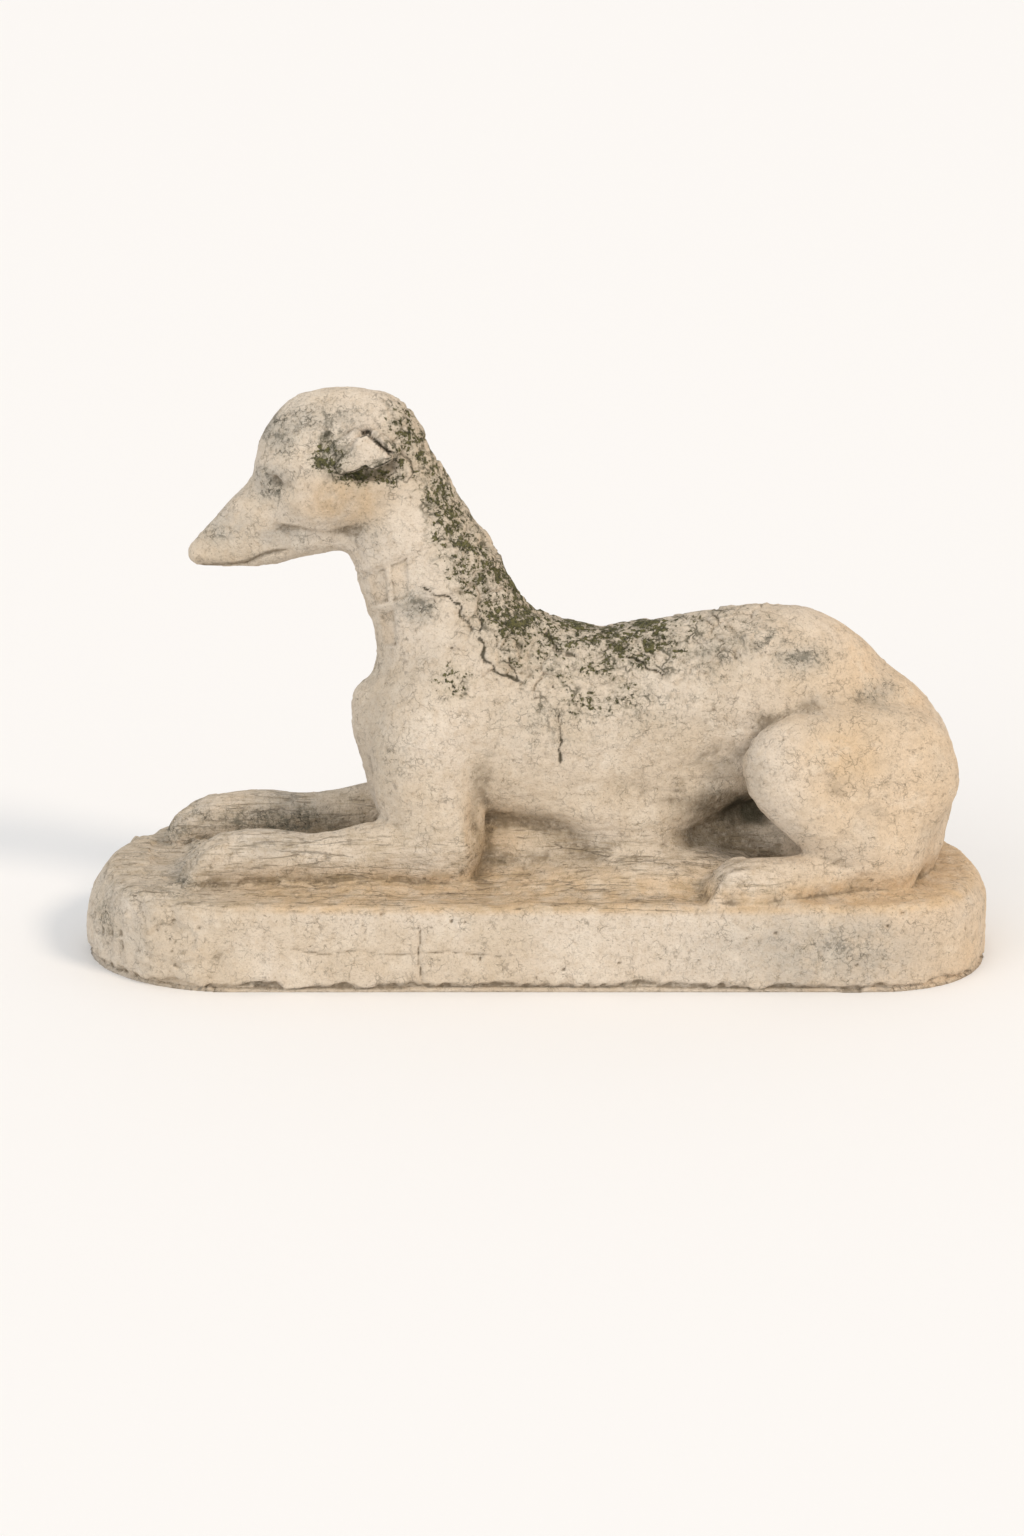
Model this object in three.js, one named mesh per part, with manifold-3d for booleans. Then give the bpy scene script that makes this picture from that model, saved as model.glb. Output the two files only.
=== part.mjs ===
// Garden statue of a greyhound lying on an oval plinth, carved in one block of limestone.
// Millimetres, +Z up. The origin is the middle of the underside, and the hound looks along -X.
// The whole block is described as a signed distance: limbs are rows of spheres blended into
// one another, the plinth is a rounded slab, and hollows are taken away with the same blend.
// That distance is turned into triangles, thinned out, and cut flat underneath.
import * as THREE from 'three';
import { mergeVertices } from 'three/addons/utils/BufferGeometryUtils.js';
import Module from 'manifold-3d';

// Plinth
const PLINTH_LENGTH = 1000;
const PLINTH_WIDTH = 340;
const PLINTH_HEIGHT = 95;
const FRONT_ROUNDING = 180; // length of the rounded end under the forepaws
const REAR_ROUNDING = 150;
const FRONT_POWER = 2.0; // 2 is an ellipse, more is squarer
const REAR_POWER = 2.3;
const EDGE_WEAR = 9; // radius of the worn upper edge
const FRONT_TIP_WEAR = 60; // both ends are worn much rounder
const REAR_TIP_WEAR = 34;
const TIP_WEAR_REACH = 76;

// Hound
const HOUND_LENGTH = 660; // breast to rump
const HOUND_SETBACK = 40; // rump to the rear end of the plinth
const COLLAR_WIDTH = 44;
const COLLAR_RELIEF = 3;
const TOES = 4;
const TOE_SPACING = 2.15; // in hundredths of the hound's length
const TOE_GIRTH = 1.65;

// Surface
const CELL = 5.5; // edge of a sampling cell
const FAR = 40; // distances are not told apart beyond this
const TRIANGLES = 10100;
const EVENNESS = 0.0005; // how much a merge minds moving corners along the surface
const FINER = 4; // head and forepaws are kept this much more closely than the rest

// Width of the rounding where two forms meet, in hundredths of the hound's length
const SEAM = {
	poll: 1.5,
	muzzle: 4.5,
	face: 2.1,
	eye: 1.2,
	ear: 0.6,
	neck: 5.2,
	belly: 4.5,
	breast: 1.8,
	head: 2.4,
	shoulder: 3.3,
	elbow: 1.2,
	haunch: 2.4,
	thigh: 2.7,
	web: 3.6,
	tail: 1.2,
	ground: 2.1,
	toe: 0.45,
};

const STONE = new THREE.MeshStandardMaterial({
	name: 'weathered_limestone',
	color: 0xd9c9b1,
	roughness: 0.95,
	metalness: 0,
});

// The hound's pose is in hundredths of its own length, from the breast and the plinth's top.
const share = HOUND_LENGTH / 100;
const breastX = PLINTH_LENGTH / 2 - HOUND_SETBACK - HOUND_LENGTH;

// Each station is [x, y, z, radius, breadth]: breadth is the width across as a share of the
// radius, so that a skull or a rib cage is narrower than it is deep.
const TORSO = [
	[12.3, 0, 25.0, 11.8, 0.98],
	[21.5, 0, 25.2, 16.0, 0.86],
	[31.8, 0, 24.6, 17.3, 0.8],
	[41.7, 0, 24.2, 16.6, 0.78],
	[51.5, 0, 25.8, 16.2, 0.74],
	[60.6, 0, 27.7, 15.7, 0.72],
	[71.2, 0, 28.6, 15.6, 0.8],
	[80.3, 0, 24.2, 12.9, 0.97],
	[87.4, 0, 17.9, 12.6, 1.02],
	[88.4, 0, 6.6, 10.4, 1.45],
];
const BELLY_FOLD = [
	[26, 0, 15.2, 5.2, 1.9],
	[34, 0, 13.2, 6.0, 1.9],
	[42, 0, 11.2, 6.8, 1.85],
	[49, 0, 10.8, 6.8, 1.8],
	[56, 0, 13.4, 6.2, 1.7],
	[63, 0, 17.0, 5.4, 1.6],
];
const BREAST = [
	[3.6, 0, 27.8, 4.0, 1.1],
	[5.2, 0, 20.6, 4.6, 1.3],
	[9.2, 0, 12.0, 6.0, 1.4],
	[14.5, 0, 5.0, 7.6, 1.45],
];
const NECK = [
	[6.4, 0, 62.0, 9.8, 0.7],
	[12.4, 0, 50.2, 10.9, 0.7],
	[16.8, 0, 39.0, 12.9, 0.74],
	[22.5, 0, 28.5, 14.2, 0.8],
];
const SKULL = [
	[-3.2, 0, 67.9, 12.4, 0.64],
	[1.5, 0, 69.3, 10.9, 0.68],
	[3.8, 0, 69.4, 8.0, 0.78],
];
const POLL = [
	[0.4, 0, 74.0, 5.2, 0.9],
	[3.9, 0, 73.2, 4.4, 0.9],
];
const MUZZLE = [
	[-25.1, 0, 53.4, 2.0, 0.95],
	[-19.1, 0, 56.0, 4.6, 0.72],
	[-13.8, 0, 58.3, 6.8, 0.62],
	[-5.0, 0, 61.5, 7.5, 0.72],
	[1.0, 0, 62.8, 7.0, 0.85],
];

// Paired forms are given for the hound's near side, -Y, and made twice.
const CHEEK = [
	[-6.5, -4.6, 63.2, 3.8, 0.9],
	[0.5, -4.8, 62.8, 3.6, 0.9],
];
const BROW = [
	[-12.9, -3.2, 67.6, 2.4, 1],
	[-8.5, -5.2, 69.8, 2.4, 1],
];
const EAR = [
	[-2.2, -7.4, 69.6, 2.2, 0.5],
	[0.8, -7.9, 71.0, 3.2, 0.45],
	[4.6, -7.7, 71.4, 2.6, 0.45],
	[7.2, -6.9, 71.2, 1.1, 0.6],
];
const SHOULDER = [
	[21.0, -6.2, 36.0, 7.6, 0.8],
	[14.0, -8.8, 25.5, 9.0, 0.8],
	[12.4, -10.2, 16.0, 8.6, 0.74],
	[14.6, -12.2, 8.4, 7.0, 0.72],
];
const FOREARM = [
	[14.6, -12.4, 6.4, 6.0, 0.8],
	[5.5, -12.6, 6.0, 5.0, 0.8],
	[-6.2, -12.4, 4.6, 4.0, 0.9],
	[-15.6, -12.2, 5.0, 4.2, 0.95],
	[-20.8, -12.2, 4.2, 4.0, 1.05],
	[-24.6, -12.2, 2.8, 2.7, 1.5],
];
const THIGH = [
	[88.6, -10.6, 18.2, 10.9, 0.75],
	[80.3, -13.4, 20.2, 9.8, 0.72],
	[71.0, -16.4, 20.7, 7.1, 0.74],
	[78.2, -16.2, 12.6, 6.8, 0.76],
	[87.0, -14.2, 6.4, 5.8, 0.9],
];
const HAUNCH = [
	[80.0, -14.6, 16.6, 8.0, 0.66],
	[86.5, -12.6, 11.6, 8.6, 0.74],
];
const HIND_FOOT = [
	[87.6, -13.6, 4.2, 5.2, 1.0],
	[80.3, -16.2, 3.4, 3.7, 0.95],
	[71.2, -19.4, 2.8, 3.6, 1.0],
	[64.6, -20.9, 2.6, 3.9, 1.0],
	[61.2, -20.9, 2.2, 2.7, 1.4],
];

// Forms under, behind and before the hound
const BELLY_WEB = [
	[16, 0, 4.0, 9.0, 1.1],
	[28, 0, 4.2, 9.4, 1.1],
	[38, 0, 4.2, 9.4, 1.2],
	[45, 0, 4.4, 9.4, 1.35],
	[52, 0, 4.2, 8.8, 1.0],
	[60, 0, 4.2, 8.8, 0.7],
	[68, 0, 4.2, 9.2, 0.65],
	[76, 0, 4.4, 9.0, 0.9],
	[84, 0, 6.0, 9.0, 1.2],
];
const GROUND_SWELL = [
	[14, 0, -3.4, 6.2, 2.8],
	[28, 0, -3.0, 6.4, 3.0],
	[38, 0, -2.2, 7.8, 2.55],
	[48, 0, -1.6, 8.6, 2.35],
	[58, 0, -1.8, 8.0, 2.4],
	[68, 0, -3.2, 6.4, 2.7],
	[84, 0, -3.6, 6.0, 2.4],
];
const PAW_ROCK = [
	[-26, 0, -3.4, 5.0, 2.6],
	[-18, 0, -2.0, 4.8, 3.3],
	[-6, 0, -1.4, 4.8, 3.5],
	[6, 0, -1.2, 5.2, 3.4],
	[18, 0, -1.0, 5.0, 3.2],
];
const TAIL = [
	[94.6, 0.0, 11.0, 3.4, 1],
	[96.0, 6.4, 2.6, 2.7, 1],
	[92.8, 14.0, 1.0, 2.1, 1],
	[86.5, 19.8, 0.8, 1.9, 1],
	[77.0, 22.4, 0.7, 1.7, 1],
	[70.0, 22.6, 0.5, 1.4, 1],
];

// Hollows
const ELBOW_GROOVE = [
	[20.6, -16.0, 22.0, 1.2, 1],
	[21.2, -15.4, 14.0, 2.2, 1],
	[20.8, -14.8, 5.0, 2.8, 1],
];
const EYE_SOCKET = [
	[-12.6, -7.2, 65.4, 2.0, 1],
	[-9.8, -8.8, 66.0, 2.0, 1],
];
const FOREPAW_REACH = 4.8; // the far foreleg lies this much further forward
const FAR_FOOT_TUCK = 3.0; // and the far hind foot closer in, inside the tail

const shifted = (stations, dx, dy) => stations.map(([x, y, z, ...rest]) => [x + dx, y + dy, z, ...rest]);
const mirrored = (stations) => stations.map(([x, y, z, ...rest]) => [x, -y, z, ...rest]);

// Smallest of two distances with the seam between them rounded, and its opposite.
function blend(a, b, seam) {
	const k = seam * share;
	const h = Math.max(k - Math.abs(a - b), 0) / k;
	return Math.min(a, b) - (h * h * k) / 4;
}
const carve = (a, hollow, seam) => -blend(-a, hollow, seam);

// A row of stations, smoothed by a curve through them, as a distance in millimetres.
function limb(stations, steps = 5) {
	const place = new THREE.CatmullRomCurve3(
		stations.map(([x, y, z]) => new THREE.Vector3(breastX + x * share, y * share, PLINTH_HEIGHT + z * share)),
	);
	const girth = new THREE.CatmullRomCurve3(
		stations.map(([, , , radius, breadth]) => new THREE.Vector3(radius * share, breadth, 0)),
	);
	const count = (stations.length - 1) * steps;
	const nodes = Array.from({ length: count + 1 }, (_, i) => {
		const p = place.getPoint(i / count);
		const g = girth.getPoint(i / count);
		return { x: p.x, y: p.y, z: p.z, radius: g.x, breadth: g.y };
	});
	const reach = Math.max(...nodes.map((n) => n.radius)) + FAR;
	const across = reach * Math.max(1, ...nodes.map((n) => n.breadth));
	const box = new THREE.Box3().setFromPoints(nodes.map((n) => new THREE.Vector3(n.x, n.y, n.z)));
	box.expandByVector(new THREE.Vector3(reach, across, reach));
	const segments = nodes.slice(1).map((b, i) => {
		const a = nodes[i];
		const ux = b.x - a.x;
		const uy = b.y - a.y;
		const uz = b.z - a.z;
		return { a, b, ux, uy, uz, length2: Math.max(ux * ux + uy * uy + uz * uz, 1e-6) };
	});
	const { min, max } = box;
	return (x, y, z) => {
		const away = Math.max(min.x - x, x - max.x, min.y - y, y - max.y, min.z - z, z - max.z);
		if (away > 0) return away + FAR;
		let nearest = FAR;
		for (const { a, b, ux, uy, uz, length2 } of segments) {
			const along = ((x - a.x) * ux + (y - a.y) * uy + (z - a.z) * uz) / length2;
			const t = Math.min(Math.max(along, 0), 1);
			const breadth = a.breadth + (b.breadth - a.breadth) * t;
			const dx = x - a.x - ux * t;
			const dy = (y - a.y - uy * t) / breadth;
			const dz = z - a.z - uz * t;
			const d = Math.sqrt(dx * dx + dy * dy + dz * dz) - a.radius - (b.radius - a.radius) * t;
			if (d < nearest) nearest = d;
		}
		return nearest;
	};
}

// The plinth: a slab whose plan ends in two part ellipses, and whose upper edge is worn round.
function plinth(x, y, z) {
	if (z > PLINTH_HEIGHT + FAR) return z - PLINTH_HEIGHT;
	const front = -PLINTH_LENGTH / 2 + FRONT_ROUNDING;
	const rear = PLINTH_LENGTH / 2 - REAR_ROUNDING;
	const half = PLINTH_WIDTH / 2;
	const [past, rounding, power] =
		x < front ? [front - x, FRONT_ROUNDING, FRONT_POWER] : [Math.max(x - rear, 0), REAR_ROUNDING, REAR_POWER];
	const ring = ((past / rounding) ** power + (Math.abs(y) / half) ** power) ** (1 / power);
	const plan = (ring - 1) * (past > 0 ? Math.min(rounding, half) : half);
	const tip = THREE.MathUtils.smoothstep(Math.abs(x), PLINTH_LENGTH / 2 - TIP_WEAR_REACH, PLINTH_LENGTH / 2);
	const wear = EDGE_WEAR + ((x < 0 ? FRONT_TIP_WEAR : REAR_TIP_WEAR) - EDGE_WEAR) * tip;
	const side = plan + wear;
	const above = z - PLINTH_HEIGHT + wear;
	return Math.hypot(Math.max(side, 0), Math.max(above, 0)) + Math.min(Math.max(side, above), 0) - wear;
}

// The collar stands proud of the neck between two planes square to it.
const [collarX, , collarZ] = NECK[1];
const collarAt = new THREE.Vector3(breastX + collarX * share, 0, PLINTH_HEIGHT + collarZ * share);
const collarAcross = new THREE.Vector3(-0.37, 0, 0.93).normalize();
function collarRelief(x, y, z) {
	const along = (x - collarAt.x) * collarAcross.x + (z - collarAt.z) * collarAcross.z;
	return COLLAR_RELIEF * (1 - THREE.MathUtils.smoothstep(Math.abs(along), COLLAR_WIDTH / 2 - 5, COLLAR_WIDTH / 2 + 5));
}

// Toes side by side over the end of a paw whose last two stations are given.
function toes(paw) {
	const [heel, tip] = paw.slice(-2);
	return Array.from({ length: TOES }, (_, i) => {
		const off = i - (TOES - 1) / 2;
		const y = tip[1] + off * TOE_SPACING;
		const back = off * off * 0.35; // the middle toes reach furthest
		return limb(
			[
				[heel[0] - 0.6, tip[1] + off * TOE_SPACING * 0.9, heel[2] + heel[3] - TOE_GIRTH, TOE_GIRTH * 0.8, 0.75],
				[tip[0] + back, y, tip[2] + tip[3] - TOE_GIRTH * 0.5, TOE_GIRTH, 0.75],
				[tip[0] - tip[3] * 0.8 + back, y, TOE_GIRTH * 0.8, TOE_GIRTH * 0.9, 0.75],
			],
			2,
		);
	});
}

const nearSide = {
	shoulder: SHOULDER,
	forearm: FOREARM,
	thigh: THIGH,
	haunch: HAUNCH,
	foot: HIND_FOOT,
	elbow: ELBOW_GROOVE,
};
const farSide = {
	shoulder: mirrored(SHOULDER),
	forearm: mirrored(FOREARM).map(([x, y, z, r, b], i) => [x - (FOREPAW_REACH * i) / (FOREARM.length - 1), y, z, r, b]),
	thigh: mirrored(THIGH),
	haunch: mirrored(HAUNCH),
	foot: shifted(mirrored(HIND_FOOT), 0, -FAR_FOOT_TUCK),
	elbow: mirrored(ELBOW_GROOVE),
};

const torso = limb(TORSO);
const neck = limb(NECK);
const skull = limb(SKULL);
const muzzle = limb(MUZZLE);
const fold = limb(BELLY_FOLD, 3);
const breast = limb(BREAST, 2);
const poll = limb(POLL, 1);
const web = limb(BELLY_WEB, 2);
const swell = limb(GROUND_SWELL, 2);
const pawRock = limb(PAW_ROCK, 3);
const tail = limb(TAIL);
const headForms = [CHEEK, BROW].flatMap((f) => [limb(f, 1), limb(mirrored(f), 1)]);
const ears = [limb(EAR, 3), limb(mirrored(EAR), 3)];
const eyes = [limb(EYE_SOCKET, 1), limb(mirrored(EYE_SOCKET), 1)];
const sides = [nearSide, farSide].map((side) => ({
	shoulder: limb(side.shoulder),
	forearm: limb(side.forearm),
	thigh: limb(side.thigh),
	haunch: limb(side.haunch, 2),
	foot: limb(side.foot),
	elbow: limb(side.elbow, 2),
	toes: [...toes(side.forearm), ...toes(side.foot)],
}));

// Distance to the carved block: below zero inside the stone.
function block(x, y, z) {
	let head = blend(skull(x, y, z), poll(x, y, z), SEAM.poll);
	head = blend(head, muzzle(x, y, z), SEAM.muzzle);
	for (const form of headForms) head = blend(head, form(x, y, z), SEAM.face);
	for (const eye of eyes) head = carve(head, eye(x, y, z), SEAM.eye);
	for (const ear of ears) head = blend(head, ear(x, y, z), SEAM.ear);
	let body = blend(torso(x, y, z), neck(x, y, z) - collarRelief(x, y, z), SEAM.neck);
	body = blend(body, fold(x, y, z), SEAM.belly);
	body = blend(body, breast(x, y, z), SEAM.breast);
	body = blend(body, head, SEAM.head);
	for (const side of sides) {
		body = blend(body, side.shoulder(x, y, z), SEAM.shoulder);
		body = carve(body, side.elbow(x, y, z), SEAM.elbow);
		body = blend(body, blend(side.thigh(x, y, z), side.haunch(x, y, z), SEAM.haunch), SEAM.thigh);
	}
	let ground = blend(plinth(x, y, z), web(x, y, z), SEAM.web);
	ground = blend(ground, Math.min(pawRock(x, y, z), swell(x, y, z)), SEAM.ground);
	ground = blend(ground, tail(x, y, z), SEAM.tail);
	body = blend(body, ground, SEAM.ground);
	for (const side of sides) {
		let legs = Math.min(side.forearm(x, y, z), side.foot(x, y, z));
		for (const toe of side.toes) legs = blend(legs, toe(x, y, z), SEAM.toe);
		body = blend(body, legs, SEAM.ground);
	}
	return body;
}

// Surface where a distance is zero, by splitting each cell into six tetrahedra round its diagonal.
function polygonise(distance, box, cell) {
	const size = box.getSize(new THREE.Vector3());
	const [nx, ny, nz] = size.toArray().map((s) => Math.ceil(s / cell) + 1);
	const at = (i, j, k) => i + nx * (j + ny * k);
	// A sample that falls nearly on the surface is moved off it, which avoids sliver triangles.
	const least = cell / 8;
	const sample = (i, j, k) => {
		const d = distance(box.min.x + i * cell, box.min.y + j * cell, box.min.z + k * cell);
		return d < 0 ? Math.min(d, -least) : Math.max(d, least);
	};
	// Blocks of samples that lie well away from the surface are filled with their middle one.
	const step = 5;
	const values = new Float32Array(nx * ny * nz);
	for (let k0 = 0; k0 < nz; k0 += step)
		for (let j0 = 0; j0 < ny; j0 += step)
			for (let i0 = 0; i0 < nx; i0 += step) {
				const middle = sample(i0 + step / 2, j0 + step / 2, k0 + step / 2);
				const away = Math.abs(middle) > FAR + 1;
				for (let k = k0; k < Math.min(k0 + step, nz); k++)
					for (let j = j0; j < Math.min(j0 + step, ny); j++)
						for (let i = i0; i < Math.min(i0 + step, nx); i++)
							values[at(i, j, k)] = away ? middle : sample(i, j, k);
			}
	const corners = [0, 1, 2, 3, 4, 5, 6, 7].map((c) => at(c & 1, (c >> 1) & 1, c >> 2));
	const paths = [
		[0, 1, 3, 7],
		[0, 1, 5, 7],
		[0, 2, 3, 7],
		[0, 2, 6, 7],
		[0, 4, 5, 7],
		[0, 4, 6, 7],
	];
	const positions = [];
	const index = [];
	const known = new Map();
	const point = (n) => [n % nx, Math.floor(n / nx) % ny, Math.floor(n / (nx * ny))];
	const crossing = (a, b) => {
		const key = Math.min(a, b) * values.length + Math.max(a, b);
		if (!known.has(key)) {
			const t = values[a] / (values[a] - values[b]);
			const p = point(a);
			const q = point(b);
			known.set(key, positions.length / 3);
			positions.push(...box.min.toArray().map((low, i) => low + cell * (p[i] + (q[i] - p[i]) * t)));
		}
		return known.get(key);
	};
	const face = (a, b, c, inner, outer) => {
		const [p, q, r] = [a, b, c].map((v) => new THREE.Vector3().fromArray(positions, v * 3));
		const normal = q.clone().sub(p).cross(r.sub(p));
		const [from, to] = [point(inner), point(outer)];
		const outwards = new THREE.Vector3(to[0] - from[0], to[1] - from[1], to[2] - from[2]);
		index.push(...(normal.dot(outwards) < 0 ? [a, c, b] : [a, b, c]));
	};
	for (let k = 0; k < nz - 1; k++)
		for (let j = 0; j < ny - 1; j++)
			for (let i = 0; i < nx - 1; i++) {
				const base = at(i, j, k);
				const inside = corners.filter((c) => values[base + c] < 0).length;
				if (inside === 0 || inside === 8) continue;
				for (const path of paths) {
					const tet = path.map((c) => base + corners[c]);
					const ins = tet.filter((n) => values[n] < 0);
					const outs = tet.filter((n) => values[n] >= 0);
					if (ins.length === 1) face(...outs.map((o) => crossing(ins[0], o)), ins[0], outs[0]);
					if (ins.length === 3) face(...ins.map((n) => crossing(n, outs[0])), ins[0], outs[0]);
					if (ins.length === 2) {
						const [p, q, r, s] = [
							crossing(ins[0], outs[0]),
							crossing(ins[0], outs[1]),
							crossing(ins[1], outs[1]),
							crossing(ins[1], outs[0]),
						];
						face(p, q, r, ins[0], outs[1]);
						face(p, r, s, ins[0], outs[1]);
					}
				}
			}
	const geometry = new THREE.BufferGeometry();
	geometry.setAttribute('position', new THREE.Float32BufferAttribute(positions, 3));
	geometry.setIndex(index);
	return geometry;
}

// What a corner may not stray from: the planes of its triangles, summed as the ten terms of a
// symmetric quadric, with a slight pull to where the corner was.
function quadricsOf(place, faces) {
	const quadrics = Array.from({ length: place.length }, () => new Float64Array(10));
	for (const face of faces) {
		const [p, q, r] = face.map((v) => place[v]);
		const normal = q.clone().sub(p).cross(r.clone().sub(p));
		const worth = (normal.length() / 2) * (p.x < breastX ? FINER : 1);
		normal.normalize();
		const plane = [normal.x, normal.y, normal.z, -normal.dot(p)];
		for (const v of face) {
			const own = [...place[v].toArray(), 1];
			let term = 0;
			for (let i = 0; i < 4; i++)
				for (let j = i; j < 4; j++) {
					const still = i === j && i < 3 ? 1 : j < 3 ? 0 : i < 3 ? -own[i] : place[v].lengthSq();
					quadrics[v][term++] += worth * (plane[i] * plane[j] + EVENNESS * still);
				}
		}
	}
	return quadrics;
}

// The point that strays least from the planes of two corners, and by how much.
function merging(a, b, quadrics) {
	const qa = quadrics[a];
	const qb = quadrics[b];
	const xx = qa[0] + qb[0];
	const xy = qa[1] + qb[1];
	const xz = qa[2] + qb[2];
	const xw = qa[3] + qb[3];
	const yy = qa[4] + qb[4];
	const yz = qa[5] + qb[5];
	const yw = qa[6] + qb[6];
	const zz = qa[7] + qb[7];
	const zw = qa[8] + qb[8];
	const cx = yy * zz - yz * yz;
	const cy = xz * yz - xy * zz;
	const cz = xy * yz - xz * yy;
	const cyz = xy * xz - xx * yz;
	const whole = xx * cx + xy * cy + xz * cz;
	const x = -(cx * xw + cy * yw + cz * zw) / whole;
	const y = -(cy * xw + (xx * zz - xz * xz) * yw + cyz * zw) / whole;
	const z = -(cz * xw + cyz * yw + (xx * yy - xy * xy) * zw) / whole;
	return { a, b, x, y, z, cost: xw * x + yw * y + zw * z + qa[9] + qb[9] };
}

// Thins a closed surface out by merging the ends of its least needed edges. A merge is left
// out where it would pinch the surface or turn a triangle over.
function thinned(geometry, triangles) {
	const position = geometry.getAttribute('position');
	const place = Array.from({ length: position.count }, (_, i) => new THREE.Vector3().fromBufferAttribute(position, i));
	const corners = geometry.getIndex().array;
	let faces = Array.from({ length: corners.length / 3 }, (_, i) => [...corners.slice(3 * i, 3 * i + 3)]);
	const quadrics = quadricsOf(place, faces);
	const around = place.map(() => []);
	for (const face of faces) for (const v of face) around[v].push(face);
	const neighbours = (v) => new Set(around[v].flat().filter((other) => other !== v));
	const [side, edge, before, after] = [0, 1, 2, 3].map(() => new THREE.Vector3());
	const normalOf = ([p, q, r], target) => target.subVectors(q, p).cross(edge.subVectors(r, p));
	const turns = (v, partner, point) =>
		around[v].some((face) => {
			if (face.includes(partner)) return false;
			normalOf(face.map((c) => place[c]), before);
			normalOf(face.map((c) => (c === v ? point : place[c])), after);
			const longest = Math.max(...face.filter((c) => c !== v).map((c) => side.subVectors(place[c], point).lengthSq()));
			return before.dot(after) < 0.3 * before.length() * after.length() || after.length() < 0.06 * longest;
		});
	const point = new THREE.Vector3();
	let count = faces.length;
	let merged = 1;
	while (count > triangles && merged > 0) {
		const edges = [];
		for (const face of faces)
			face.forEach((a, k) => {
				const b = face[(k + 1) % 3];
				if (a < b) edges.push(merging(a, b, quadrics));
			});
		edges.sort((p, q) => p.cost - q.cost);
		const touched = new Set();
		merged = 0;
		for (const { a, b, x, y, z } of edges.slice(0, Math.ceil(edges.length / 3))) {
			if (count <= triangles) break;
			if (touched.has(a) || touched.has(b)) continue;
			point.set(x, y, z);
			const near = neighbours(b);
			if ([...neighbours(a)].filter((v) => near.has(v)).length !== 2) continue;
			if (turns(a, b, point) || turns(b, a, point)) continue;
			for (const face of around[b]) {
				if (face.includes(a)) for (const v of face) around[v] = around[v].filter((other) => other !== face);
				else around[a].push(face);
				face[face.indexOf(b)] = face.includes(a) ? -1 : a;
			}
			place[a].copy(point);
			quadrics[b].forEach((term, i) => (quadrics[a][i] += term));
			touched.add(a).add(b);
			count -= 2;
			merged++;
		}
		faces = faces.filter((face) => !face.includes(-1));
	}
	const kept = [...new Set(faces.flat())];
	const order = new Map(kept.map((v, i) => [v, i]));
	const result = new THREE.BufferGeometry().setFromPoints(kept.map((v) => place[v]));
	result.setIndex(faces.flat().map((v) => order.get(v)));
	return result;
}

const wasm = await Module();
wasm.setup();

const solid = (geometry) =>
	new wasm.Manifold(
		new wasm.Mesh({
			numProp: 3,
			vertProperties: new Float32Array(geometry.getAttribute('position').array),
			triVerts: new Uint32Array(geometry.getIndex().array),
		}),
	);

function geometryOf(manifold) {
	const mesh = manifold.getMesh();
	const geometry = new THREE.BufferGeometry();
	geometry.setAttribute('position', new THREE.BufferAttribute(mesh.vertProperties, 3));
	geometry.setIndex(new THREE.BufferAttribute(mesh.triVerts, 1));
	return geometry;
}

// The sampled box holds the plinth and, whatever their sizes, the hound with its paws.
const margin = 3 * CELL;
const front = Math.min(-PLINTH_LENGTH / 2, breastX - 36 * share);
const rear = Math.max(PLINTH_LENGTH / 2, breastX + 104 * share);
const side = Math.max(PLINTH_WIDTH / 2, 27 * share);
const height = PLINTH_HEIGHT + 84 * share;
const bounds = new THREE.Box3(
	new THREE.Vector3(front - margin, -side - margin, -margin),
	new THREE.Vector3(rear + margin, side + margin, height + margin),
);
// The sampled block goes on a little below the ground, to be cut off there in one flat face.
const deeper = (x, y, z) => Math.max(block(x, y, z), -z - 1.5 * CELL);
const rough = solid(thinned(polygonise(deeper, bounds, CELL), TRIANGLES));
const ground = new THREE.BoxGeometry(4 * rear, 4 * side, PLINTH_HEIGHT);
ground.deleteAttribute('normal');
ground.deleteAttribute('uv');
ground.translate(0, 0, -PLINTH_HEIGHT / 2);
const carving = rough.subtract(solid(mergeVertices(ground)));

const statue = new THREE.Group();
const mesh = new THREE.Mesh(geometryOf(carving), STONE);
mesh.name = 'greyhound_on_plinth';
statue.add(mesh);

export default statue;
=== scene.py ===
"""Garden statue of a greyhound lying on an oval plinth, carved in weathered limestone.

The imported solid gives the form. A finer copy of it is worked out here and given what the
mason and the weather left: the carving of ear, eye, mouth, cheek and collar, gouge marks, a
ragged foot, cracks, lifted plates and pits. The solid stays hidden under it for collisions.
Relief is worked out in millimetres, and Blender's own lengths are metres.
"""
import itertools
import math

import bpy
import numpy as np
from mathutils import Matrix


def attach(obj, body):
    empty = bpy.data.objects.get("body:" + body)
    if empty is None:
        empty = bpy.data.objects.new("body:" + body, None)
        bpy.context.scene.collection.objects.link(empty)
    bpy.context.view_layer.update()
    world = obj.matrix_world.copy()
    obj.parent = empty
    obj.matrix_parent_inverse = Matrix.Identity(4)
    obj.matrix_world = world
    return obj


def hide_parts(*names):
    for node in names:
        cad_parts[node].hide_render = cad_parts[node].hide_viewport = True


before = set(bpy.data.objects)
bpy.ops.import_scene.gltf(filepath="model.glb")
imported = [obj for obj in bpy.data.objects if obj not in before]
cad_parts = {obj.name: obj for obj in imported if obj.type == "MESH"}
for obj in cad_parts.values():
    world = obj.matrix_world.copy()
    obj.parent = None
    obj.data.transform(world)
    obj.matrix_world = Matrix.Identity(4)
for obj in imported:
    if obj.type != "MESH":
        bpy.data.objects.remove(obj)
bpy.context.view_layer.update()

MM = 0.001
PLINTH_TOP = 95.0
VOXEL = 2.0
TRIANGLES = 194000
MOSS_SIZES = (5.0, 20.0, 55.0)


# Arrays and noise

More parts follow.
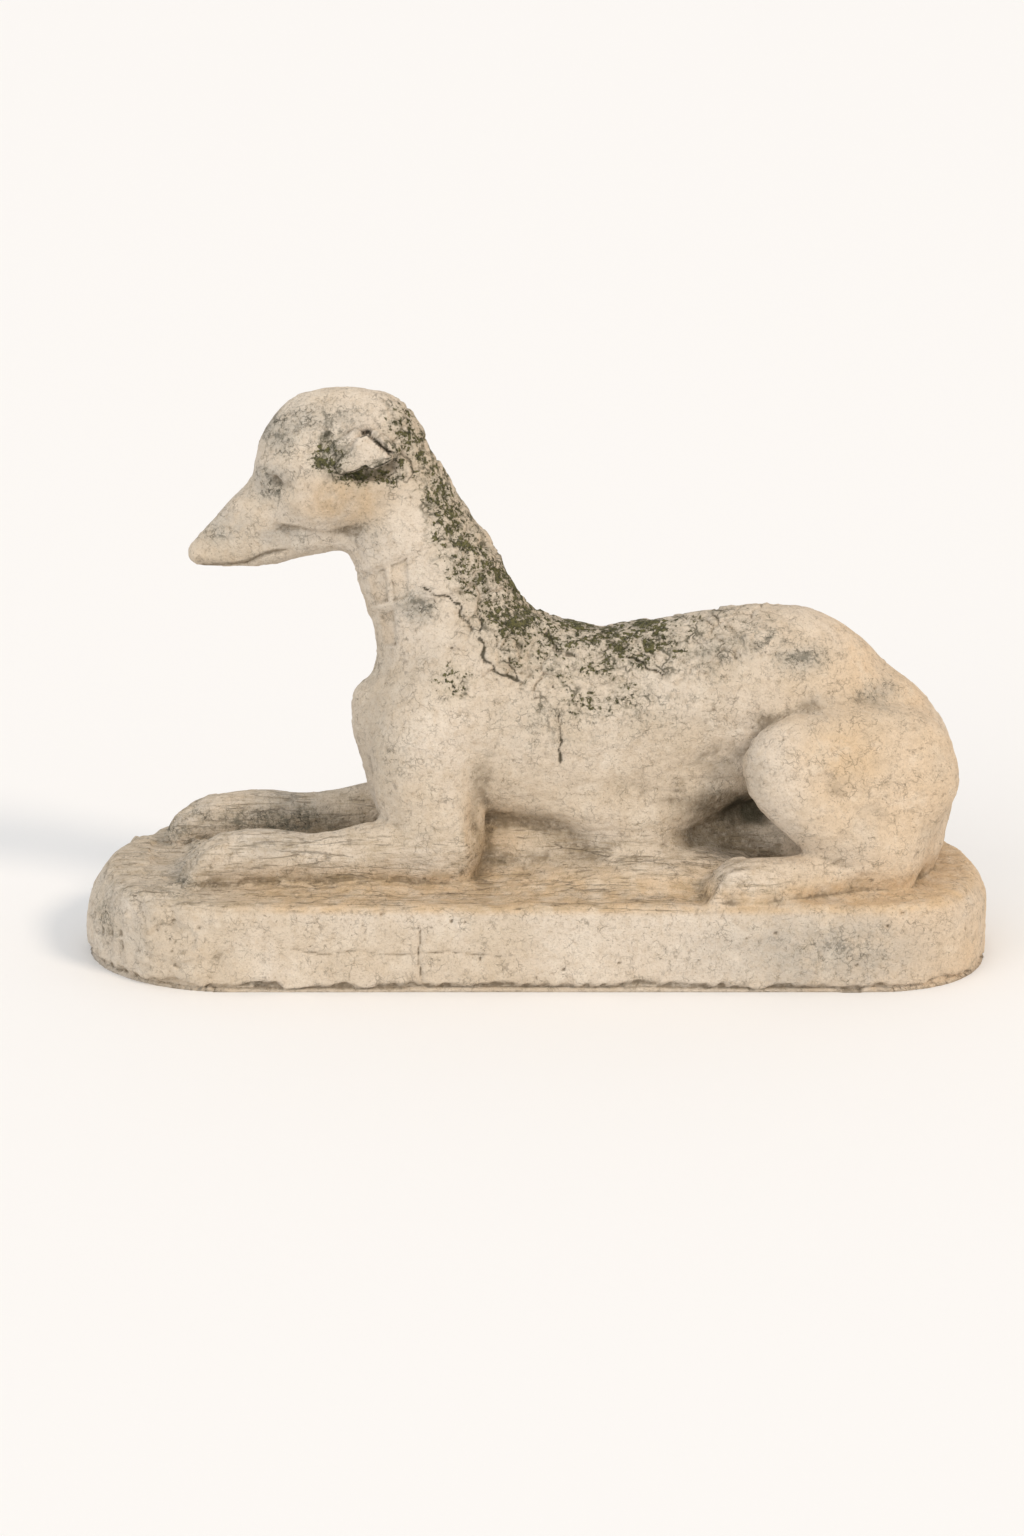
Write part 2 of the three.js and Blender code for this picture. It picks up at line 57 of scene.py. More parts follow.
def smoothstep(low, high, value):
    """0 below low, 1 above high, and 3t² - 2t³ between them."""
    t = np.clip((value - low) / (high - low), 0.0, 1.0)
    return t * t * (3.0 - 2.0 * t)


def lattice_random(i, j, k, seed):
    """A number from 0 to 1 for each whole lattice point: the fraction left by a large sine."""
    s = np.sin(i * 127.1 + j * 311.7 + k * 74.7 + seed * 53.3) * 43758.5453
    return s - np.floor(s)


def value_noise(p, size, seed):
    """Smooth noise from -1 to 1 with bumps of one size: lattice randoms mixed by smoothstep."""
    q = p / size
    cell = np.floor(q)
    t = smoothstep(0.0, 1.0, q - cell)
    total = np.zeros(len(p))
    for corner in itertools.product((0, 1), repeat=3):
        weight = np.prod(np.where(np.array(corner) == 1, t, 1.0 - t), axis=1)
        total += weight * lattice_random(*(cell + corner).T, seed)
    return 2.0 * total - 1.0


def lattice_noise(p, size, seed):
    """Value noise from 0 to 1."""
    return 0.5 + 0.5 * value_noise(p, size, seed)


def rough(p, size, octaves, seed):
    """Layers of value noise, each of half the size and half the height of the one before."""
    layers = [0.5**o * value_noise(p, size * 0.5**o, seed + 7 * o) for o in range(octaves)]
    return sum(layers) / sum(0.5**o for o in range(octaves))


def plates(p, size, seed):
    """Cells round scattered points: the distance from the nearest border, and each cell's random.

    One point is scattered in each lattice cube. The border distance is half of what the second
    nearest point lies further away than the nearest."""
    q = p / size
    base = np.floor(q)
    first = np.full(len(p), 9.0)
    second = np.full(len(p), 9.0)
    mark = np.zeros(len(p))
    for step in itertools.product((-1, 0, 1), repeat=3):
        cell = base + step
        spot = np.stack([lattice_random(*cell.T, seed + axis) for axis in range(3)], axis=1)
        away = np.linalg.norm(cell + spot - q, axis=1)
        nearer = away < first
        second = np.where(nearer, first, np.minimum(second, away))
        mark = np.where(nearer, spot[:, 0], mark)
        first = np.where(nearer, away, first)
    return (second - first) * size / 2.0, first * size, mark


def line_distance(x, z, line):
    """Distance in side view to a broken line: the least over its straight pieces."""
    least = np.full(len(x), 1e6)
    for (ax, az), (bx, bz) in zip(line[:-1], line[1:]):
        ux, uz = bx - ax, bz - az
        t = np.clip(((x - ax) * ux + (z - az) * uz) / (ux * ux + uz * uz), 0.0, 1.0)
        least = np.minimum(least, np.hypot(x - ax - t * ux, z - az - t * uz))
    return least


def outline_distance(x, z, outline):
    """Signed distance in side view to a closed outline, below zero inside it.

    A point is inside where a level line from it crosses the outline an odd number of times."""
    closed = outline + outline[:1]
    inside = np.zeros(len(x), bool)
    for (ax, az), (bx, bz) in zip(closed[:-1], closed[1:]):
        spans = (az > z) != (bz > z)
        crossing = ax + (z - az) * (bx - ax) / (bz - az if bz != az else 1e-9)
        inside ^= spans & (x < crossing)
    return np.where(inside, -1.0, 1.0) * line_distance(x, z, closed)


def under(x, z, line, edge, reach):
    """1 just below a line in side view, fading to 0 at its reach and beyond the line's ends.

    The line's height over x is joined up from its points."""
    xs, zs = np.array(line, float).T
    below = np.interp(x, xs, zs) - z
    ends = smoothstep(xs[0] - 8.0, xs[0] + 12.0, x) * smoothstep(xs[-1] + 8.0, xs[-1] - 12.0, x)
    return ends * smoothstep(0.0, edge, below) * smoothstep(reach, edge, below)


def patch(x, z, at, radii):
    """1 in the middle of an oval in side view, falling to 0 at its border."""
    return smoothstep(1.0, 0.0, np.hypot((x - at[0]) / radii[0], (z - at[1]) / radii[1]))


def patched(x, z, places):
    """The strongest of several ovals: each is x, z, half length, half height and strength."""
    ovals = []
    for at_x, at_z, half, high, strength in places:
        ovals.append(strength * patch(x, z, (at_x, at_z), (half, high)))
    return np.max(ovals, axis=0)


# The fine copy of the solid

def arrays_of(mesh):
    """Points and triangles of a mesh as arrays."""
    mesh.calc_loop_triangles()
    points = np.empty(len(mesh.vertices) * 3)
    mesh.vertices.foreach_get("co", points)
    corners = np.empty(len(mesh.loop_triangles) * 3, np.int32)
    mesh.loop_triangles.foreach_get("vertices", corners)
    return points.reshape(-1, 3), corners.reshape(-1, 3)


def merged(points, faces):
    """The same triangles with corners in one place made one corner."""
    _, first, same = np.unique(np.round(points, 6), axis=0, return_index=True, return_inverse=True)
    faces = same.reshape(-1)[faces]
    whole = (faces[:, 0] != faces[:, 1]) & (faces[:, 1] != faces[:, 2]) & (faces[:, 2] != faces[:, 0])
    return points[first], faces[whole]


def summed(index, values, count):
    """Sums rows of values into count places."""
    return np.stack([np.bincount(index, values[:, axis], count) for axis in range(3)], axis=1)


def corner_normals(points, faces):
    """Each corner's normal: the normals of its triangles, added by area and made one long."""
    a, b, c = points[faces[:, 0]], points[faces[:, 1]], points[faces[:, 2]]
    flat = np.cross(b - a, c - a)
    total = summed(faces.reshape(-1), np.repeat(flat, 3, axis=0), len(points))
    return total / np.maximum(np.linalg.norm(total, axis=1, keepdims=True), 1e-12)


def rounded(points, faces, steps, bulge):
    """Splits each triangle into steps² and bows it out to the planes at its corners.

    A point of the flat triangle is moved by bulge times the way to the mean, by its own shares
    of the corners, of its feet on the three corner planes. The underside stays flat."""
    a, b, c = (points[faces[:, k]] for k in range(3))
    flat = np.cross(b - a, c - a)
    under = (points[faces][:, :, 2] < 0.01 * MM).all(axis=1)
    normals = corner_normals(points, faces[~under])
    foot = points[:, 2] < 0.01 * MM
    normals[foot, 2] = 0.0
    normals /= np.maximum(np.linalg.norm(normals, axis=1, keepdims=True), 1e-12)
    pairs = [(i, j) for i in range(steps + 1) for j in range(steps + 1 - i)]
    rows = {pair: n for n, pair in enumerate(pairs)}
    weights = np.array([(1.0 - i / steps - j / steps, i / steps, j / steps) for i, j in pairs])
    corners = points[faces]
    flats = np.einsum("sk,fkc->fsc", weights, corners)
    feet = np.zeros_like(flats)
    for k in range(3):
        normal = normals[faces[:, k]][:, None, :]
        off = ((flats - corners[:, None, k]) * normal).sum(axis=2, keepdims=True)
        feet += weights[None, :, k, None] * (flats - off * normal)
    bowed = np.where(under[:, None, None], flats, flats + bulge * (feet - flats))
    small = []
    for i in range(steps):
        for j in range(steps - i):
            small.append((rows[i, j], rows[i + 1, j], rows[i, j + 1]))
            if j < steps - i - 1:
                small.append((rows[i + 1, j], rows[i + 1, j + 1], rows[i, j + 1]))
    offsets = np.arange(len(faces))[:, None, None] * len(pairs)
    split = (offsets + np.array(small)[None]).reshape(-1, 3)
    return merged(bowed.reshape(-1, 3), split)


def eased(points, faces, rounds, share):
    """Moves each corner a share of the way to the middle of its neighbours, then nearly as far back.

    Going back a little further than it came keeps the volume."""
    edges = np.concatenate([faces[:, [0, 1]], faces[:, [1, 2]], faces[:, [2, 0]]])
    count = np.maximum(np.bincount(edges[:, 0], minlength=len(points)), 1)[:, None]
    for _ in range(rounds):
        for pull in (share, -1.04 * share):
            middle = summed(edges[:, 0], points[edges[:, 1]], len(points)) / count
            points = points + pull * (middle - points)
    return points


def mesh_of(name, points, faces):
    mesh = bpy.data.meshes.new(name)
    mesh.from_pydata(points, [], faces)
    mesh.update()
    return mesh


def applied(mesh, kind, **settings):
    """The mesh after one modifier."""
    holder = bpy.data.objects.new("holder", mesh)
    bpy.context.scene.collection.objects.link(holder)
    modifier = holder.modifiers.new("step", kind)
    for name, value in settings.items():
        setattr(modifier, name, value)
    graph = bpy.context.evaluated_depsgraph_get()
    result = bpy.data.meshes.new_from_object(holder.evaluated_get(graph))
    bpy.data.objects.remove(holder)
    return result


# Carving and weather, in millimetres along the surface's own normal. Places are in side view.

EAR_FLAP = [(-196, 568), (-208, 560), (-214, 552), (-211, 543), (-202, 546), (-192, 549), (-182, 554),
            (-177, 550), (-165, 554), (-154, 561), (-163, 570), (-174, 580), (-181, 583), (-192, 580)]
EAR_FOLD = [(-212, 574), (-202, 577), (-190, 587), (-180, 590), (-166, 578), (-152, 566)]
EAR_SLIT = [(-187, 584), (-180, 586), (-168, 575), (-156, 565)]
EAR_HOLLOW = [(-208, 543), (-196, 543), (-182, 549), (-172, 547), (-163, 551), (-152, 556), (-148, 546),
              (-163, 533), (-190, 532)]
EAR_LUMPS = (-204, 569)
LOBE = [(-148, 562), (-136, 552), (-134, 540), (-140, 532), (-148, 537), (-151, 549)]
MOUTH = [(-364, 434), (-340, 436), (-315, 439), (-303, 446), (-289, 452), (-272, 455)]
CHEEK = [(-288, 490), (-275, 488), (-258, 486), (-243, 483), (-228, 480), (-205, 486), (-192, 490)]
LID = [(-294, 539), (-286, 543), (-278, 541), (-271, 533)]
COLLAR_TOP = [(-192, 431), (-173, 440), (-152, 450), (-127, 461), (-108, 470)]
COLLAR_FOOT = [(-180, 389), (-160, 397), (-142, 403), (-104, 412), (-66, 427)]
PANELS = [
    [(-183, 426), (-163, 437), (-161, 401), (-177, 396)],
    [(-157, 440), (-140, 448), (-138, 409), (-154, 402)],
    [(-171, 386), (-155, 391), (-152, 353), (-167, 350)],
]
THROAT = [(-190, 481), (-194, 466), (-191, 442)]
CRACKS = [
    [(-122, 418), (-105, 412), (-91, 409), (-82, 395), (-69, 376), (-56, 356), (-53, 340), (-37, 330),
     (-16, 322)],
    [(-62, 392), (-60, 368), (-54, 340)],
    [(18, 318), (23, 280), (26, 262), (25, 234)],
    [(12, 366), (22, 352), (40, 345)],
    [(-30, 345), (-24, 330), (-20, 312)],
    [(100, 342), (122, 334), (135, 325)],
]
MOSSY = [(-168, 590), (-158, 560), (-140, 540), (-130, 520), (-122, 490), (-118, 455), (-112, 420),
         (-92, 385), (-72, 350), (-40, 318), (0, 302), (60, 300), (120, 306), (180, 322), (235, 345),
         (290, 372), (310, 420), (-20, 480), (-120, 640), (-168, 640)]
PITS = [((-161, 248), 5.0, 3.0), ((-92, 357), 3.0, 3.0), ((190, 289), 3.0, 2.5), ((365, 308), 2.5, 2.5),
        ((-45, 252), 3.0, 2.0), ((150, 262), 2.5, 2.0), ((-168, 262), 3.5, 1.5)]
WALL_CRACK = [(-125, 70), (-127, 44), (-124, 12)]
WALL_SEAM = [(-262, 49), (-232, 43), (-196, 47), (-150, 42), (-96, 46), (-40, 41)]


def weathering(p, wall):
    """Long soft swells, thin flakes fallen away in steps, and the grain of a rain-washed surface."""
    swell = 1.5 * rough(p, 60.0, 2, 11) + 0.7 * rough(p, 17.0, 3, 23)
    stretched = p * np.array([0.5, 0.5, 1.5])
    flake = 0.8 * smoothstep(-0.05, 0.03, rough(stretched, 34.0, 4, 27))
    flake += 0.5 * smoothstep(0.1, 0.15, rough(p, 21.0, 4, 29))
    return swell + flake * (1.0 - 0.5 * wall) + 0.4 * rough(stretched, 7.0, 2, 31)


def scaly(p, mossy):
    """Plates of crust that have lifted or fallen, with open joints between them."""
    warped = p + 7.0 * np.stack([value_noise(p, 15.0, seed) for seed in (41, 42, 43)], axis=1)
    border, _, mark = plates(warped, 24.0, 51)
    joint = smoothstep(2.2, 0.3, border) * smoothstep(0.3, 0.6, lattice_noise(p, 34.0, 61))
    step = 1.9 * (np.floor(mark * 3.0) / 2.0 - 0.5)
    crumb = 1.1 * rough(p, 8.0, 3, 71)
    return mossy * (step * smoothstep(0.0, 2.2, border) - 2.4 * joint + crumb)


def pitting(p, share):
    """Small sharp hollows where a shell or a soft grain has fallen out."""
    _, centre, mark = plates(p, 15.0, 81)
    radius = 1.4 + 2.4 * np.clip((mark - 0.7) / 0.3, 0.0, 1.0)
    return -share * np.where(mark > 0.7, 1.0, 0.0) * radius * smoothstep(radius, radius * 0.3, centre)


def cracks(p, near):
    """Open cracks on the near side: a V cut along broken lines that wander a little."""
    x = p[:, 0] + 4.0 * value_noise(p, 10.0, 91) + 1.5 * value_noise(p, 4.0, 93)
    z = p[:, 2] + 4.0 * value_noise(p, 10.0, 92) + 1.5 * value_noise(p, 4.0, 94)
    least = np.min([line_distance(x, z, line) for line in CRACKS], axis=0)
    return near * smoothstep(2.5, 0.4, least) * smoothstep(0.12, 0.4, lattice_noise(p, 12.0, 95))


def ear_carving(p):
    """A folded flap with a ragged lower edge, a ridge along its fold, a slit between them, a deep
    hollow below, a lobe behind and broken lumps before."""
    x = p[:, 0] + 0.9 * value_noise(p, 5.0, 101)
    z = p[:, 2] + 0.9 * value_noise(p, 5.0, 102)
    flap = outline_distance(x, z, EAR_FLAP)
    hollow = outline_distance(x, z, EAR_HOLLOW)
    ear = 5.2 * smoothstep(0.9, -1.1, flap)
    ear -= 8.0 * smoothstep(1.5, -4.5, hollow) * smoothstep(-0.6, 1.0, flap)
    ear += 3.6 * smoothstep(4.6, 2.0, line_distance(x, z, EAR_FOLD))
    ear -= 6.0 * smoothstep(2.6, 0.8, line_distance(x, z, EAR_SLIT))
    ear += 3.2 * smoothstep(1.6, -2.4, outline_distance(x, z, LOBE))
    lumps = patch(x, z, EAR_LUMPS, (22, 18)) * smoothstep(-1.0, 1.0, flap)
    return ear + 3.4 * rough(p, 9.0, 2, 105) * lumps


def ear_shade(p):
    """Where the ear's slit, the open edges of flap and lobe and the joints of its lumps stay dark."""
    x, z = p[:, 0], p[:, 2]
    flap = outline_distance(x, z, EAR_FLAP)
    outside = smoothstep(-0.5, 0.8, flap)
    open_edge = np.maximum(smoothstep(563.0, 556.0, z), 0.8 * smoothstep(-194.0, -202.0, x))
    under_flap = smoothstep(4.5, 1.5, flap) * outside * open_edge
    slit = smoothstep(2.4, 0.8, line_distance(x, z, EAR_SLIT))
    lobe = 0.7 * smoothstep(2.2, 0.6, np.abs(outline_distance(x, z, LOBE) - 1.0))
    joints = smoothstep(0.08, 0.3, rough(p, 9.0, 3, 109)) * patch(x, z, (-220, 568), (34, 40)) * outside
    return np.max([0.95 * under_flap, slit, lobe, 1.6 * joints], axis=0)


def crisp_places(p):
    """1 at the ear and the collar, where the weather's own relief would blur the carving."""
    ear = patch(p[:, 0], p[:, 2], (-181, 562), (54, 42))
    collar = 0.7 * patch(p[:, 0], p[:, 2], (-160, 410), (62, 72))
    return np.maximum(ear, collar)


def head_carving(p):
    """Ear, eye, lid, mouth and cheek, the same on both sides."""
    x, z = p[:, 0], p[:, 2]
    side = smoothstep(14.0, 30.0, np.abs(p[:, 1]))
    eye = -3.2 * patch(x, z, (-281, 532), (15, 10))
    eye += 1.6 * smoothstep(4.0, 0.6, line_distance(x, z, LID))
    mouth = -3.4 * under(x, z, MOUTH, 1.6, 9.0)
    cheek = -3.4 * under(x, z, CHEEK, 7.0, 30.0)
    return side * (ear_carving(p) + eye + cheek) + smoothstep(3.0, 10.0, np.abs(p[:, 1])) * mouth


def panel_distance(x, z):
    """Signed distance in side view to the nearest of the collar's sunken panels."""
    return np.min([outline_distance(x, z, panel) for panel in PANELS], axis=0)


def collar_carving(p):
    """Two raised rims and sunken panels between them, worn away towards the nape."""
    x = p[:, 0] + 1.8 * value_noise(p, 12.0, 107)
    z = p[:, 2] + 1.8 * value_noise(p, 12.0, 108)
    worn = smoothstep(-70.0, -115.0, x)
    rims = np.minimum(line_distance(x, z, COLLAR_TOP), line_distance(x, z, COLLAR_FOOT))
    fold = smoothstep(5.0, 0.5, line_distance(x, z, THROAT))
    sunk = smoothstep(1.6, -2.0, panel_distance(x, z))
    return worn * (2.6 * smoothstep(5.0, 0.8, rims) - 2.2 * sunk) - 1.6 * fold


def plinth_dressing(p, wall):
    """Flutes of the mason's gouge round the sides, a ragged undercut foot, and broken edges."""
    around = np.arctan2(p[:, 1] / 170.0, p[:, 0] / 500.0) * 400.0
    flute = np.abs(np.sin(around / 13.0 + 1.4 * value_noise(p, 45.0, 111)))
    front = smoothstep(-220.0, -330.0, p[:, 0])
    gouged = -(0.7 + 3.0 * front) * flute**3 * lattice_noise(p, 38.0, 121)
    level = p * np.array([1.0, 1.0, 0.0])
    edge = 8.0 + 6.0 * value_noise(level, 26.0, 131) + 3.0 * value_noise(p, 9.0, 132)
    undercut = -6.5 * smoothstep(1.0, -2.0, p[:, 2] - edge)
    chips = -3.0 * smoothstep(0.15, 0.5, rough(p, 24.0, 3, 141)) * smoothstep(66.0, 92.0, p[:, 2])
    x, z = p[:, 0] + value_noise(p, 8.0, 151), p[:, 2] + value_noise(p, 8.0, 152)
    split = -2.5 * smoothstep(2.4, 0.3, line_distance(x, z, WALL_CRACK))
    split -= 1.8 * smoothstep(2.4, 0.3, line_distance(x, z, WALL_SEAM))
    return wall * (gouged + undercut + chips + split * (p[:, 1] < 0))


def rocky_front(p):
    """Broken lumps of rough stone round the front end, before and under the forepaws."""
    front = smoothstep(-290.0, -390.0, p[:, 0]) * smoothstep(0.0, 14.0, p[:, 2])
    front *= smoothstep(165.0, 110.0, p[:, 2])
    steps = smoothstep(-0.03, 0.03, rough(p * np.array([0.7, 0.7, 1.4]), 40.0, 4, 193))
    return front * (5.0 * rough(p, 46.0, 3, 191) + 2.6 * steps)


def ground_roughness(p):
    """The plinth's top and the rough stone left under the belly, tooled along the length."""
    level = smoothstep(PLINTH_TOP + 55, PLINTH_TOP - 1, p[:, 2])
    level *= smoothstep(PLINTH_TOP - 8, PLINTH_TOP - 1, p[:, 2])
    streaked = rough(p * np.array([0.4, 1.0, 1.3]), 14.0, 4, 161)
    ledges = smoothstep(-0.04, 0.04, rough(p * np.array([0.4, 1.0, 1.6]), 30.0, 3, 163))
    return level * (1.5 * streaked + 1.0 * ledges + 1.0 * rough(p, 30.0, 2, 171))


def relief(p, normals):
    """All the relief added up, with the underside left as it is."""
    x, z = p[:, 0], p[:, 2]
    wall = smoothstep(0.75, 0.35, np.abs(normals[:, 2])) * smoothstep(PLINTH_TOP + 6, PLINTH_TOP - 10, z)
    near = smoothstep(0.0, -0.25, normals[:, 1])
    ragged = outline_distance(x, z, MOSSY) + 8.0 * value_noise(p, 30.0, 181)
    mossy = smoothstep(12.0, -14.0, ragged)
    on_hound = smoothstep(PLINTH_TOP + 2, PLINTH_TOP + 22, z)
    crisp = crisp_places(p)
    depth = weathering(p, wall) * (1.0 - 0.8 * crisp)
    depth += on_hound * (1.0 - crisp) * scaly(p, mossy)
    depth += pitting(p, 0.35 + 0.65 * wall)
    depth -= 2.6 * cracks(p, near) * on_hound
    depth += head_carving(p)
    depth += collar_carving(p)
    depth += plinth_dressing(p, wall)
    depth += rocky_front(p)
    depth += ground_roughness(p)
    for at, radius, deep in PITS:
        depth -= near * deep * patch(x, z, at, (radius, radius))
    return depth * smoothstep(-0.9, -0.6, np.where(z < 2.0, normals[:, 2], 1.0))


def weathered_copy(node):
    """The solid made fine, even and soft, given its relief, and thinned to what a piece may have."""
    points, faces = merged(*arrays_of(node.data))
    points, faces = rounded(points, faces, 4, 0.75)
    fine = applied(mesh_of("fine", points, faces), "REMESH", mode="VOXEL", voxel_size=VOXEL * MM)
    points, faces = arrays_of(fine)
    points = eased(points, faces, 8, 0.6)
    normals = corner_normals(points, faces)
    points = points + MM * relief(points / MM, normals)[:, None] * normals
    points[:, 2] = np.maximum(points[:, 2], 0.0)
    carved = mesh_of("carved", points, faces)
    mesh = applied(carved, "DECIMATE", ratio=TRIANGLES / len(faces))
    mesh.name = "weathered_greyhound"
    return mesh


# Colour masks kept on the mesh's corners

def add_mask(mesh, name, values):
    attribute = mesh.attributes.new(name, "FLOAT", "POINT")
    attribute.data.foreach_set("value", np.clip(values, 0.0, 1.0).astype(np.float32))


# Stains, earthy places and painted shade in side view: x, z, half length, half height, strength
GREY_PATCHES = [
    (-276, 582, 40, 34, 1.0), (-286, 530, 38, 40, 1.0), (-335, 478, 60, 40, 0.9), (-240, 598, 90, 26, 0.7),
    (-277, 470, 60, 24, 1.0), (-205, 566, 30, 24, 0.6), (-200, 472, 30, 24, 0.7), (-128, 398, 40, 34, 0.9),
    (-176, 300, 40, 60, 0.5), (200, 352, 80, 26, 0.6), (284, 344, 56, 26, 0.7), (300, 300, 60, 30, 0.5),
    (367, 304, 34, 22, 0.6), (-410, 130, 80, 34, 0.5), (-460, 80, 40, 40, 0.5), (-290, 144, 90, 26, 0.7),
    (300, 44, 230, 90, 0.9),
]
LICHEN_PATCHES = [
    (-274, 582, 44, 40, 1.0), (-284, 528, 42, 40, 0.9), (-230, 600, 90, 30, 0.8), (-219, 570, 46, 44, 1.0),
    (-352, 470, 60, 26, 0.6), (-178, 480, 34, 40, 0.6), (-128, 400, 50, 40, 0.8), (-180, 330, 40, 50, 0.35),
    (-156, 240, 40, 50, 0.4), (20, 280, 130, 60, 0.6), (120, 290, 120, 60, 0.6), (190, 338, 90, 40, 0.7),
    (240, 362, 90, 34, 0.7), (284, 344, 70, 34, 0.8), (367, 304, 60, 26, 0.7), (-380, 134, 50, 26, 0.6),
    (-420, 118, 90, 40, 0.7), (-380, 104, 50, 14, 0.8), (-470, 60, 40, 50, 0.6), (330, 50, 150, 60, 0.6),
]
MOSS_PATCHES = [
    (-88, 324, 40, 30, 0.8), (-180, 540, 64, 26, 1.2), (-24, 341, 24, 30, 0.6), (100, 313, 30, 26, 0.6),
    (-219, 560, 36, 36, 1.0), (-148, 550, 26, 26, 0.8), (60, 300, 120, 34, 0.5),
]
# Earthy tint, but the first oval, on the cheek, is painted shade
EARTH_AND_CHEEK_SHADE_PATCHES = [(-208, 510, 90, 54, 0.9), (-40, 150, 60, 60, 0.8), (330, 250, 80, 90, 0.7)]
# Painted shade under the flank and the ribcage, behind the elbow, under the jaw, on the cheek and along the
# flank
SHADE_PATCHES = [
    (190, 182, 90, 30, 0.8), (-60, 140, 24, 80, 0.6), (-206, 480, 40, 14, 0.5), (-10, 166, 80, 18, 0.5),
    (-206, 512, 104, 56, 0.45), (214, 222, 76, 46, 0.42),
]
MOSS_CREST = [(-162, 576), (-115, 522), (-93, 464), (-40, 404), (25, 372), (122, 362)]

# Ovals in side view, as middle and half sizes
# The first oval holds painted shade in the recess under the flank
FLANK_RECESS = ((228, 166), (80, 48))
NEAR_FORELEG = ((-270, 130), (130, 90))
FAR_FORELEG_FOOT = ((-295, 126), (150, 30))


def smoothed(points, faces, rounds):
    """The same surface flattened by steps to the middle of each corner's neighbours."""
    edges = np.concatenate([faces[:, [0, 1]], faces[:, [1, 2]], faces[:, [2, 0]]])
    count = np.maximum(np.bincount(edges[:, 0], minlength=len(points)), 1)[:, None]
    for _ in range(rounds):
        points = points + 0.6 * (summed(edges[:, 0], points[edges[:, 1]], len(points)) / count - points)
    return points


def growth_masks(mesh, p, normals):
    """Moss over the crest and in patches, dark lichen round it, and dark growth with painted shade between
    the forelegs.
    """
    x, y, z = p.T
    region = smoothstep(16.0, -30.0, outline_distance(x, z, MOSSY))
    upward = smoothstep(-0.3, 0.8, normals[:, 2])
    crest = smoothstep(44.0, 4.0, line_distance(x, z, MOSS_CREST))
    fading = 0.3 + 0.7 * smoothstep(330.0, 130.0, x)
    mossed = region * (0.3 + 0.1 * upward + 0.6 * crest) * fading
    add_mask(mesh, "moss", np.maximum(mossed, patched(x, z, MOSS_PATCHES)))
    # Between the forelegs this mask also carries painted shade
    spread = [patched(x, z, LICHEN_PATCHES), 0.42 * region * fading, growth_and_shade_between_forelegs(x, y, z)]
    near_leg = smoothstep(-60.0, -80.0, y) * patch(x, z, *NEAR_FORELEG)
    kept_bare = 1.0 - 0.9 * np.minimum(2.0 * near_leg, 1.0)
    add_mask(mesh, "lichen", 0.04 + np.max(spread, axis=0) * kept_bare)


def growth_and_shade_between_forelegs(x, y, z):
    """1 along the foot of the far foreleg behind the near one: dark growth and painted shade."""
    return smoothstep(-50.0, -30.0, y) * patch(x, z, *FAR_FORELEG_FOOT)


def stone_masks(mesh, p, normals):
    """Grey stains, painted shade forward, painted warm light at the rump and right, earthy stone by the
    ground.
    """
    x, z = p[:, 0], p[:, 2]
    # Painted shade: what faces forward is greyed; the grey ovals are stains
    forward = 0.35 * smoothstep(0.3, -0.7, normals[:, 0])
    add_mask(mesh, "cool", np.maximum(patched(x, z, GREY_PATCHES), forward))
    # Painted warm light on the rump and on what faces right
    rump = 0.8 * smoothstep(100.0, 430.0, x)
    add_mask(mesh, "warm", rump + 0.5 * smoothstep(0.3, 0.9, normals[:, 0]))
    ground = smoothstep(PLINTH_TOP + 40, PLINTH_TOP + 2, z) * smoothstep(PLINTH_TOP - 12, PLINTH_TOP, z)
    ground *= smoothstep(-400.0, -230.0, x)
    panels = 0.4 * smoothstep(2.0, -3.0, panel_distance(x, z))
    # The earthy mask also carries painted shade on the cheek
    add_mask(mesh, "earth_and_cheek_shade", np.max([ground, patched(x, z, EARTH_AND_CHEEK_SHADE_PATCHES), panels], axis=0))
    low_stone = smoothstep(PLINTH_TOP + 95, PLINTH_TOP + 40, z)
    tooled = low_stone * smoothstep(PLINTH_TOP - 10, PLINTH_TOP + 2, z)
    add_mask(mesh, "tooled", tooled * smoothstep(330.0, 200.0, x))


def dirt_and_shade_masks(mesh, p, normals, narrow, broad):
    """Grime and painted shade in hollows, painted shade at the mouth and recess, panel edges, open cracks.
    """
    x, y, z = p.T
    # Painted shade, near black, in the recess under the flank
    recess = smoothstep(98.0, 86.0, np.abs(y)) * patch(x, z, *FLANK_RECESS)
    recess *= 0.5 + 0.9 * lattice_noise(p, 13.0, 197)
    level = smoothstep(0.5, 0.9, normals[:, 2])
    flat_ground = smoothstep(PLINTH_TOP + 34, PLINTH_TOP + 8, z) * level
    kept_pale = np.maximum(0.65 * flat_ground, 0.6 * crisp_places(p))
    # Hollows darken with grime and painted shade, narrow ones most
    hollow = np.maximum(0.9 * smoothstep(0.5, 1.9, narrow) + 0.24 * broad, 0.0) * (1.0 - kept_pale)
    # Painted shade along the mouth line
    lips = 0.9 * smoothstep(3.6, 0.8, line_distance(x, z, MOUTH))
    seams = 0.35 * smoothstep(2.2, 0.4, np.abs(panel_distance(x, z)))
    # Painted shade from the patches, the mouth line and the recess joins the grime
    dirt_and_shade = hollow + patched(x, z, SHADE_PATCHES) + lips + seams + recess
    # Painted shade between the forelegs
    add_mask(mesh, "dirt_and_shade", dirt_and_shade + 0.6 * growth_and_shade_between_forelegs(x, y, z))
    region = smoothstep(16.0, -30.0, outline_distance(x, z, MOSSY))
    near = smoothstep(0.2, -0.1, normals[:, 1])
    opened = 0.9 * cracks(p, near) + 0.6 * smoothstep(1.0, 2.2, narrow) * region
    # Open cracks and narrow hollows darken; the ear's edges and the flank recess get painted shade
    add_mask(mesh, "crack_and_shade", np.max([opened, ear_shade(p), 0.9 * recess], axis=0))


